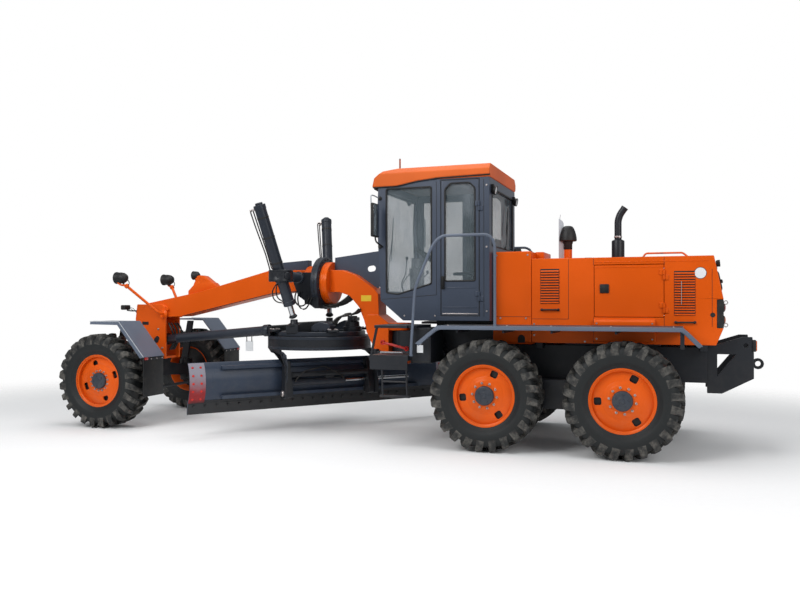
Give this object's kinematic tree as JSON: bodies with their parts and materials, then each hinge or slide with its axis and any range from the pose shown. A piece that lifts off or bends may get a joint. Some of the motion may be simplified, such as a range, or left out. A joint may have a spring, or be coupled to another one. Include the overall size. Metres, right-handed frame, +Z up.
{
  "type": "motor grader",
  "caption": "Articulated motor grader: orange frame, enclosed cab, tandem rear wheels, steered front wheels and an angled blade under a drawbar and turning circle.",
  "frame": {"origin": "on the ground under the middle of the machine's length and width", "axes": "+X forward along the machine, +Y to its left, +Z up"},
  "size_m": [9.1459, 3.1853, 3.6169],
  "materials": {
    "orange_paint": "worn semi-gloss",
    "blue_grey_paint": "semi-gloss",
    "grey_paint": "semi-gloss",
    "black_paint": "satin",
    "cylinder_rod": "polished",
    "engine_iron": "matt",
    "tyre": "matt",
    "black_plastic": "matt",
    "window_glass": "clear",
    "seat_cloth": "woven"
  },
  "bodies": {
    "rear_unit": {"rear_frame": "black_paint", "rear_axle": "black_paint", "rear_hitch": "black_paint", "hood": "orange_paint", "radiator_guard": "black_paint", "engine_block": "engine_iron", "tank_box": "orange_paint", "exhaust_stack": "black_paint", "air_precleaner": "black_plastic", "walkways": "grey_paint", "cab_shell": "blue_grey_paint", "cab_roof": "orange_paint", "cab_glass": "window_glass", "seat": "seat_cloth", "console": "blue_grey_paint", "steps": "grey_paint", "handrails": "grey_paint", "mirrors": "black_paint", "tail_lamps": "black_plastic"},
    "front_unit": {"front_frame": "orange_paint", "saddle": "black_paint", "front_axle": "black_paint", "lamps": "black_paint", "hose_guard": "blue_grey_paint"},
    "art_barrel_left": {"art_barrel_left": "black_paint"},
    "art_rod_left": {"art_rod_left": "cylinder_rod"},
    "art_barrel_right": {"art_barrel_right": "black_paint"},
    "art_rod_right": {"art_rod_right": "cylinder_rod"},
    "knuckle_left": {"knuckle_left": "black_paint", "front_fender_left": "grey_paint"},
    "knuckle_right": {"knuckle_right": "black_paint", "front_fender_right": "grey_paint"},
    "tie_rod": {"tie_rod": "black_paint"},
    "wheel_rear_left": {"rim_rear_left": "orange_paint", "tyre_rear_left": "tyre"},
    "wheel_mid_left": {"rim_mid_left": "orange_paint", "tyre_mid_left": "tyre"},
    "wheel_front_left": {"rim_front_left": "orange_paint", "tyre_front_left": "tyre"},
    "wheel_rear_right": {"rim_rear_right": "orange_paint", "tyre_rear_right": "tyre"},
    "wheel_mid_right": {"rim_mid_right": "orange_paint", "tyre_mid_right": "tyre"},
    "wheel_front_right": {"rim_front_right": "orange_paint", "tyre_front_right": "tyre"},
    "drawbar": {"drawbar": "black_paint"},
    "lift_barrel_left": {"lift_barrel_left": "black_paint"},
    "lift_rod_left": {"lift_rod_left": "cylinder_rod"},
    "lift_barrel_right": {"lift_barrel_right": "black_paint"},
    "lift_rod_right": {"lift_rod_right": "cylinder_rod"},
    "circle": {"circle": "black_paint"},
    "blade_carrier": {"blade_carrier": "black_paint"},
    "blade": {"moldboard": "blue_grey_paint"},
    "cab_door_left": {"cab_door_left": "blue_grey_paint", "door_glass_left": "window_glass"},
    "hood_door_left": {"hood_door_left": "orange_paint"},
    "cab_door_right": {"cab_door_right": "blue_grey_paint", "door_glass_right": "window_glass"},
    "hood_door_right": {"hood_door_right": "orange_paint"}
  },
  "joints": [
    {"name": "articulation", "type": "hinge", "parent": "rear_unit", "child": "front_unit", "pos_m": [-0.0945, 0, 1.18], "axis": [0, 0, -1], "range_deg": [-20, 20]},
    {"name": "art_barrel_left_swing", "type": "hinge", "parent": "rear_unit", "child": "art_barrel_left", "pos_m": [-0.8145, 0.525, 1.06], "axis": [0, 0, 1], "range_deg": [-10, 10]},
    {"name": "art_rod_left_slide", "type": "slide", "parent": "art_barrel_left", "child": "art_rod_left", "axis": [0.9814, -0.1922, 0], "range_m": [-0.16, 0.16]},
    {"name": "art_barrel_right_swing", "type": "hinge", "parent": "rear_unit", "child": "art_barrel_right", "pos_m": [-0.8145, -0.525, 1.06], "axis": [0, 0, 1], "range_deg": [-10, 10]},
    {"name": "art_rod_right_slide", "type": "slide", "parent": "art_barrel_right", "child": "art_rod_right", "axis": [0.9814, 0.1922, 0], "range_m": [-0.16, 0.16]},
    {"name": "steering", "type": "hinge", "parent": "front_unit", "child": "knuckle_left", "pos_m": [3.9245, 0.8, 0.65], "axis": [0, 0, 1], "range_deg": [-45, 45]},
    {"name": "steering_right", "type": "hinge", "parent": "front_unit", "child": "knuckle_right", "pos_m": [3.9245, -0.8, 0.65], "axis": [0, 0, 1], "range_deg": [-45, 45]},
    {"name": "tie_rod_swing", "type": "hinge", "parent": "knuckle_left", "child": "tie_rod", "pos_m": [3.6745, 0.8, 0.5], "axis": [0, 0, 1], "range_deg": [-45, 45]},
    {"name": "wheel_rear_left_spin", "type": "hinge", "parent": "rear_unit", "child": "wheel_rear_left", "pos_m": [-3.0635, 1.075, 0.65], "axis": [0, 1, 0], "continuous": true},
    {"name": "wheel_mid_left_spin", "type": "hinge", "parent": "rear_unit", "child": "wheel_mid_left", "pos_m": [-1.5255, 1.075, 0.65], "axis": [0, 1, 0], "continuous": true},
    {"name": "wheel_front_left_spin", "type": "hinge", "parent": "knuckle_left", "child": "wheel_front_left", "pos_m": [3.9245, 1.075, 0.65], "axis": [0, 1, 0], "continuous": true},
    {"name": "wheel_rear_right_spin", "type": "hinge", "parent": "rear_unit", "child": "wheel_rear_right", "pos_m": [-3.0635, -1.075, 0.65], "axis": [0, 1, 0], "continuous": true},
    {"name": "wheel_mid_right_spin", "type": "hinge", "parent": "rear_unit", "child": "wheel_mid_right", "pos_m": [-1.5255, -1.075, 0.65], "axis": [0, 1, 0], "continuous": true},
    {"name": "wheel_front_right_spin", "type": "hinge", "parent": "knuckle_right", "child": "wheel_front_right", "pos_m": [3.9245, -1.075, 0.65], "axis": [0, 1, 0], "continuous": true},
    {"name": "drawbar_lift", "type": "hinge", "parent": "front_unit", "child": "drawbar", "pos_m": [3.7345, 0, 1.17], "axis": [0, 1, 0], "range_deg": [-3.5, 3]},
    {"name": "lift_barrel_left_swing", "type": "hinge", "parent": "front_unit", "child": "lift_barrel_left", "pos_m": [1.3485, 0.75, 2.08], "axis": [-0.8679, 0.4967, 0], "range_deg": [-12, 12]},
    {"name": "lift_rod_left_slide", "type": "slide", "parent": "lift_barrel_left", "child": "lift_rod_left", "axis": [-0.1672, -0.2922, -0.9416], "range_m": [-0.17, 0.2]},
    {"name": "lift_barrel_right_swing", "type": "hinge", "parent": "front_unit", "child": "lift_barrel_right", "pos_m": [1.3485, -0.75, 2.08], "axis": [0.8679, 0.4967, 0], "range_deg": [-12, 12]},
    {"name": "lift_rod_right_slide", "type": "slide", "parent": "lift_barrel_right", "child": "lift_rod_right", "axis": [-0.1672, 0.2922, -0.9416], "range_m": [-0.17, 0.2]},
    {"name": "circle_turn", "type": "hinge", "parent": "drawbar", "child": "circle", "pos_m": [1.1355, 0, 1.18], "axis": [0, 0, 1], "range_deg": [-18, 72]},
    {"name": "blade_tip", "type": "hinge", "parent": "circle", "child": "blade_carrier", "pos_m": [0.8655, 0.21477, 0.52], "axis": [0.6225, 0.7826, 0], "range_deg": [-5, 40]},
    {"name": "blade_side_shift", "type": "slide", "parent": "blade_carrier", "child": "blade", "axis": [0.6225, 0.7826, 0], "range_m": [-0.4, 0.4]},
    {"name": "cab_door_left_hinge", "type": "hinge", "parent": "rear_unit", "child": "cab_door_left", "pos_m": [-1.3565, 0.7733, 2.4], "axis": [0, 0, 1], "range_deg": [0, 60]},
    {"name": "hood_door_left_hinge", "type": "hinge", "parent": "rear_unit", "child": "hood_door_left", "pos_m": [-3.4815, 0.6133, 1.86], "axis": [0, 0, 1], "range_deg": [0, 100]},
    {"name": "cab_door_right_hinge", "type": "hinge", "parent": "rear_unit", "child": "cab_door_right", "pos_m": [-1.3565, -0.7733, 2.4], "axis": [0, 0, -1], "range_deg": [0, 60]},
    {"name": "hood_door_right_hinge", "type": "hinge", "parent": "rear_unit", "child": "hood_door_right", "pos_m": [-3.4815, -0.6133, 1.86], "axis": [0, 0, -1], "range_deg": [0, 100]}
  ],
  "couplings": [
    {"joint": "art_barrel_left_swing", "follows": "articulation", "ratio": -0.17538},
    {"joint": "art_rod_left_slide", "follows": "articulation", "m_per_rad": 0.37254},
    {"joint": "art_barrel_right_swing", "follows": "articulation", "ratio": -0.17538},
    {"joint": "art_rod_right_slide", "follows": "articulation", "m_per_rad": -0.37254},
    {"joint": "steering_right", "follows": "steering", "ratio": 1},
    {"joint": "tie_rod_swing", "follows": "steering", "ratio": -1},
    {"joint": "lift_barrel_left_swing", "follows": "drawbar_lift", "ratio": 1.1205},
    {"joint": "lift_rod_left_slide", "follows": "drawbar_lift", "m_per_rad": -2.3961},
    {"joint": "lift_barrel_right_swing", "follows": "drawbar_lift", "ratio": 1.1205},
    {"joint": "lift_rod_right_slide", "follows": "drawbar_lift", "m_per_rad": -2.3961}
  ]
}
